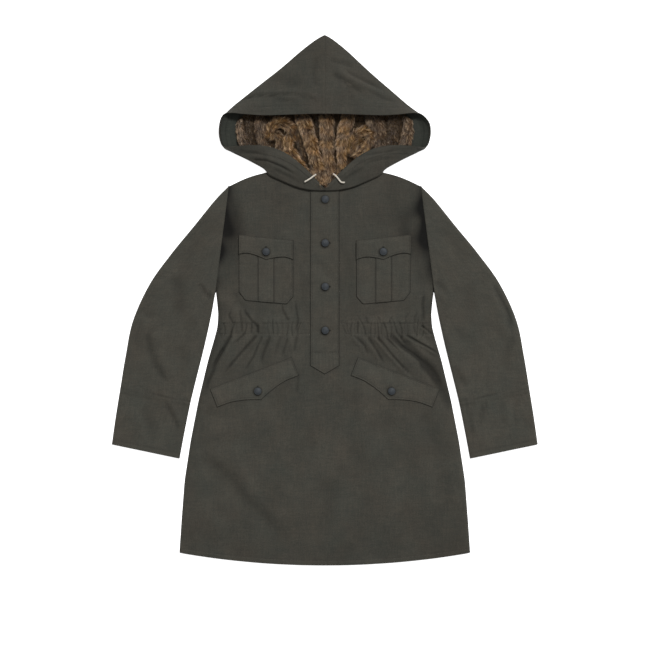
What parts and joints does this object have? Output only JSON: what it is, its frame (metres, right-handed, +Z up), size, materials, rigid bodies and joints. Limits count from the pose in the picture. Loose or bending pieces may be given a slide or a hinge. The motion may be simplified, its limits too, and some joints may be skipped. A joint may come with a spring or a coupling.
{
  "type": "anorak smock",
  "caption": "Pull-over cotton smock laid flat, with a fur-lined pointed hood, buttoned half placket, pleated chest pockets, gathered waist and slanted lower pocket flaps.",
  "frame": {"origin": "the table under the middle of the smock's outline, laid flat on its back", "axes": "+Y from the hem towards the hood's point, +Z up out of the front, +X to the right as the picture shows it"},
  "size_m": [0.979, 1.2188, 0.0368],
  "materials": {
    "outer_cloth": "matt, tight plain-weave cotton",
    "facing_cloth": "matt cotton, greener",
    "fur": "brown long-pile fur",
    "button": "satin, slate grey",
    "cord": "braided cotton, cream"
  },
  "bodies": {
    "root": {"front": "outer_cloth", "back": "outer_cloth", "sleeve_left": "outer_cloth", "sleeve_right": "outer_cloth", "hood_left": "outer_cloth", "hood_right": "outer_cloth", "hood_facing_left": "facing_cloth", "hood_facing_right": "facing_cloth", "hood_fur": "fur", "placket": "outer_cloth", "placket_button_1": "button", "placket_button_2": "button", "placket_button_3": "button", "placket_button_4": "button", "chest_pocket_left": "outer_cloth", "chest_pocket_right": "outer_cloth", "chest_flap_left": "outer_cloth", "chest_flap_right": "outer_cloth", "lower_flap_left": "outer_cloth", "lower_flap_right": "outer_cloth", "chest_button_left": "button", "chest_button_right": "button", "lower_button_left": "button", "lower_button_right": "button", "drawcord_left": "cord", "drawcord_right": "cord"}
  },
  "joints": []
}
